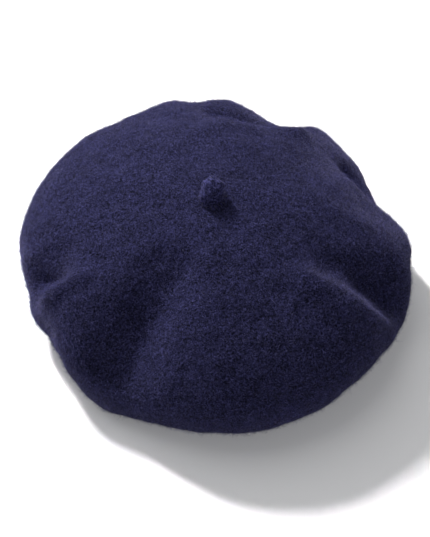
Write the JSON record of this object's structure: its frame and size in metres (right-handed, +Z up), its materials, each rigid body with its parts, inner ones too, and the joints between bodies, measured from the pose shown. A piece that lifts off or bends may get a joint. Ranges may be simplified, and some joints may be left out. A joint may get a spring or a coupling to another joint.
{
  "type": "beret",
  "caption": "Round soft wool felt beret with a small felt stem on the crown, resting on its head opening, with a ribbon sweatband and drawstring inside.",
  "frame": {"origin": "centre of the head opening, on the surface that the beret rests on", "axes": "+Z up through the crown, +Y towards the centre back where the drawstring is knotted, +X to the wearer's right"},
  "size_m": [0.2737, 0.2801, 0.1088],
  "materials": {
    "wool_felt": "matte",
    "grosgrain_ribbon": "matte",
    "sewing_thread": "satin",
    "drawstring_cord": "satin",
    "label_tape": "satin"
  },
  "bodies": {
    "hat": {"felt_body": "wool_felt", "stem_root": "wool_felt", "stem_thread": "sewing_thread", "sweatband": "grosgrain_ribbon", "band_lower_seam": "sewing_thread", "band_upper_seam": "sewing_thread", "bartack_left_lower": "sewing_thread", "bartack_left_upper": "sewing_thread", "bartack_right_lower": "sewing_thread", "bartack_right_upper": "sewing_thread", "drawstring": "drawstring_cord", "drawstring_knot": "drawstring_cord", "label_stitches": "sewing_thread"},
    "stem": {"stem_nub": "wool_felt"},
    "label": {"care_label": "label_tape"}
  },
  "joints": [
    {"name": "stem_bend", "type": "hinge", "parent": "hat", "child": "stem", "pos_m": [-0.002, 0.009, 0.1014], "axis": [1, 0, 0], "range_deg": [-30, 30], "stiffness_Nm_per_rad": 0.001},
    {"name": "label_swing", "type": "hinge", "parent": "hat", "child": "label", "pos_m": [-0.05345, 0.0637, 0.0194], "axis": [-0.766, -0.6428, 0], "range_deg": [0, 150]}
  ]
}
